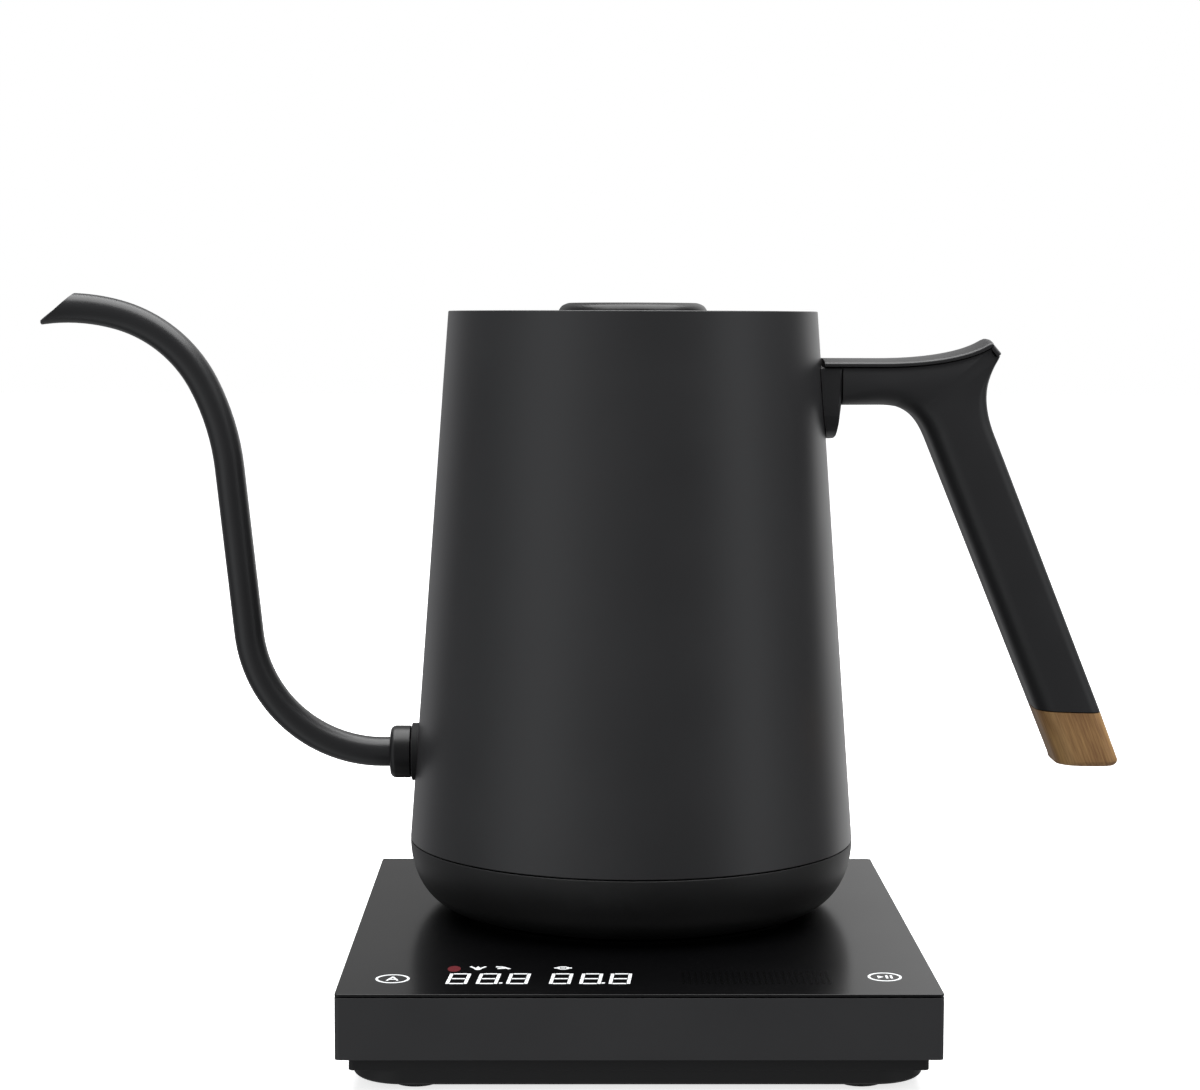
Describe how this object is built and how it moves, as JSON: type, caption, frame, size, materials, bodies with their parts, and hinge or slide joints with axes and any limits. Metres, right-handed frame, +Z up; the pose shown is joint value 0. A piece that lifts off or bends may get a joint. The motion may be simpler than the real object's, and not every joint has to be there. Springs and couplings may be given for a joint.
{
  "type": "electric kettle",
  "caption": "Gooseneck electric pour-over kettle with a lift-out lid and wood-tipped pistol handle, on a square heating base with touch controls.",
  "frame": {"origin": "middle of the whole part's bounding box, on the surface the base stands on", "axes": "+X from the spout towards the handle, +Y away from the display, +Z up; the kettle's own axis is vertical at x 12.6 mm, y 20.0 mm"},
  "size_m": [0.2884, 0.1592, 0.1883],
  "materials": {
    "powder_coat": "satin black powder coat on stainless steel",
    "cup_plastic": "fine matt black",
    "handle_plastic": "satin black moulded nylon",
    "collar_black": "satin black",
    "lid_plastic": "satin black",
    "walnut": "oiled, straight grain",
    "stainless": "brushed",
    "cast_aluminium": "as cast",
    "zinc_steel": "zinc plated",
    "brass": "plain",
    "silicone": "matt black",
    "connector_plastic": "plain black",
    "top_plate_gloss": "gloss black with white printed signs",
    "frame_plastic": "fine matt black",
    "tray_plastic": "moulded matt black",
    "circuit_board": "green solder mask",
    "module_plastic": "dark grey",
    "relay_case": "blue",
    "transformer_tape": "yellow tape"
  },
  "bodies": {
    "base": {"base_frame": "frame_plastic", "top_plate": "top_plate_gloss", "base_tray": "tray_plastic", "foot_1": "silicone", "foot_2": "silicone", "foot_3": "silicone", "foot_4": "silicone", "tray_screw_1": "zinc_steel", "tray_screw_2": "zinc_steel", "tray_screw_3": "zinc_steel", "tray_screw_4": "zinc_steel", "connector_hub": "connector_plastic", "hub_contact_ring": "brass", "hub_contact_button": "brass", "control_board": "circuit_board", "display_module": "module_plastic", "touch_pad_left": "zinc_steel", "touch_pad_right": "zinc_steel", "slider_pad": "module_plastic", "buzzer": "module_plastic", "power_board": "circuit_board", "transformer": "transformer_tape", "relay": "relay_case", "cord_gland": "silicone"},
    "socket": {"kettle_socket": "connector_plastic", "socket_pin": "brass", "socket_contact_ring": "brass"},
    "kettle": {"body_shell": "powder_coat", "spout_tube": "powder_coat", "bottom_cup": "cup_plastic", "handle_bracket": "handle_plastic", "handle_grip": "handle_plastic", "handle_top_cover": "handle_plastic", "spout_collar": "collar_black", "wooden_tip": "walnut", "vessel_floor": "stainless", "heating_element": "stainless", "temperature_sensor": "stainless", "heat_spreader": "cast_aluminium", "element_terminal_1": "zinc_steel", "element_terminal_2": "zinc_steel", "thermal_cutout": "zinc_steel", "tip_stud": "zinc_steel", "cup_screw_1": "zinc_steel", "cup_screw_2": "zinc_steel", "cup_screw_3": "zinc_steel", "handle_screw_1": "zinc_steel", "handle_screw_2": "zinc_steel", "foot_ring": "silicone", "spout_washer": "silicone", "sensor_seal": "silicone"},
    "lid": {"lid_plate": "lid_plastic", "lid_knob": "lid_plastic", "lid_liner": "stainless", "lid_seal": "silicone", "lid_screw": "zinc_steel"}
  },
  "joints": [
    {"name": "kettle_lift", "type": "slide", "parent": "base", "child": "socket", "axis": [0, 0, 1], "range_m": [0, 0.08]},
    {"name": "kettle_swivel", "type": "hinge", "parent": "socket", "child": "kettle", "pos_m": [0.01341, 0.02, 0.0328], "axis": [0, 0, 1], "continuous": true},
    {"name": "lid_lift", "type": "slide", "parent": "kettle", "child": "lid", "axis": [0, 0, 1], "range_m": [0, 0.06]}
  ]
}
